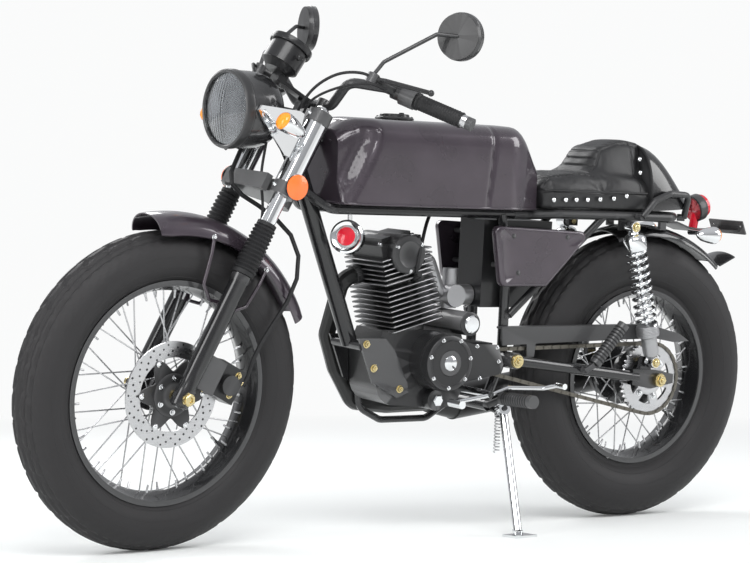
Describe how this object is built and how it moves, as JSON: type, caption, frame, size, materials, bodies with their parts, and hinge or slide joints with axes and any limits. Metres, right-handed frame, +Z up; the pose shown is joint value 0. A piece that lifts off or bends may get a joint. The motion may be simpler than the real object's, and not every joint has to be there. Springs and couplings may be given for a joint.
{
  "type": "cafe racer motorcycle",
  "caption": "Naked cafe racer motorcycle with spoked wheels, single cylinder engine, boxy tank, humped leather seat and a side stand, parked leaning with its bars slightly turned.",
  "frame": {"origin": "on the floor, under the middle of the box around the parked, leaning bike", "axes": "+X forward, +Y to the rider's left, +Z up; the bike leans to its left on the side stand"},
  "size_m": [1.996, 0.7292, 1.2155],
  "materials": {
    "black_paint": "gloss",
    "engine_black": "satin",
    "exhaust_black": "satin",
    "body_colour": "gloss metallic",
    "leather": "satin",
    "chrome": "polished",
    "bolt_steel": "zinc plated, satin",
    "spoke_steel": "brushed",
    "sprocket_steel": "satin",
    "chain_steel": "oiled",
    "carb_metal": "cast",
    "rubber": "matte",
    "tyre": "matte",
    "rim_black": "gloss",
    "black_plastic": "gloss",
    "lens_clear": "clear, fluted",
    "lens_red": "translucent red",
    "lens_orange": "reflector orange"
  },
  "bodies": {
    "frame": {"main_frame": "black_paint", "seat_frame": "black_paint", "swingarm": "black_paint", "rear_axle": "bolt_steel", "engine_case": "engine_black", "engine_barrel": "engine_black", "engine_head": "engine_black", "exhaust": "exhaust_black", "carburettor": "carb_metal", "air_box": "black_plastic", "fuel_tank": "body_colour", "fuel_cap": "black_plastic", "seat": "leather", "seat_cowl": "black_paint", "side_covers": "body_colour", "rear_fender": "black_paint", "grab_rail": "black_paint", "rear_shocks": "chrome", "tail_light": "lens_red", "rear_indicators": "chrome", "plate_bracket": "black_paint", "foot_pegs": "rubber", "foot_levers": "chrome", "horn": "chrome", "chain_guard": "black_paint", "drive_chain": "chain_steel", "rear_brake_plate": "rim_black"},
    "steering": {"fork_tubes": "chrome", "fork_sliders": "rim_black", "fork_gaiters": "rubber", "fork_clamps": "rim_black", "front_axle": "bolt_steel", "handlebar": "rim_black", "grips": "rubber", "hand_controls": "black_plastic", "headlight": "black_plastic", "headlight_lens": "lens_clear", "front_indicators": "chrome", "fork_reflectors": "lens_orange", "mirrors": "black_plastic", "speedometer": "black_plastic", "front_fender": "body_colour", "brake_caliper": "rim_black", "brake_hose": "rubber"},
    "front_wheel": {"front_tyre": "tyre", "front_rim": "rim_black", "front_spokes": "spoke_steel", "front_hub": "rim_black", "brake_disc": "spoke_steel"},
    "rear_wheel": {"rear_tyre": "tyre", "rear_rim": "rim_black", "rear_spokes": "spoke_steel", "rear_hub": "rim_black", "rear_sprocket": "sprocket_steel"},
    "side_stand": {"side_stand": "chrome"}
  },
  "joints": [
    {"name": "steering", "type": "hinge", "parent": "frame", "child": "steering", "pos_m": [0.35819, -0.00543, 0.79107], "axis": [-0.4535, 0.0817, 0.8875], "range_deg": [-36, 26]},
    {"name": "front_wheel_spin", "type": "hinge", "parent": "steering", "child": "front_wheel", "pos_m": [0.65762, -0.04106, 0.3389], "axis": [-0.0864, 0.9871, -0.135], "continuous": true},
    {"name": "rear_wheel_spin", "type": "hinge", "parent": "frame", "child": "rear_wheel", "pos_m": [-0.64912, -0.04629, 0.34781], "axis": [-0.0001, 0.9958, -0.0917], "continuous": true},
    {"name": "side_stand_fold", "type": "hinge", "parent": "frame", "child": "side_stand", "pos_m": [-0.18116, 0.05983, 0.27852], "axis": [0.2248, 0.9002, 0.3731], "range_deg": [0, 97]}
  ]
}
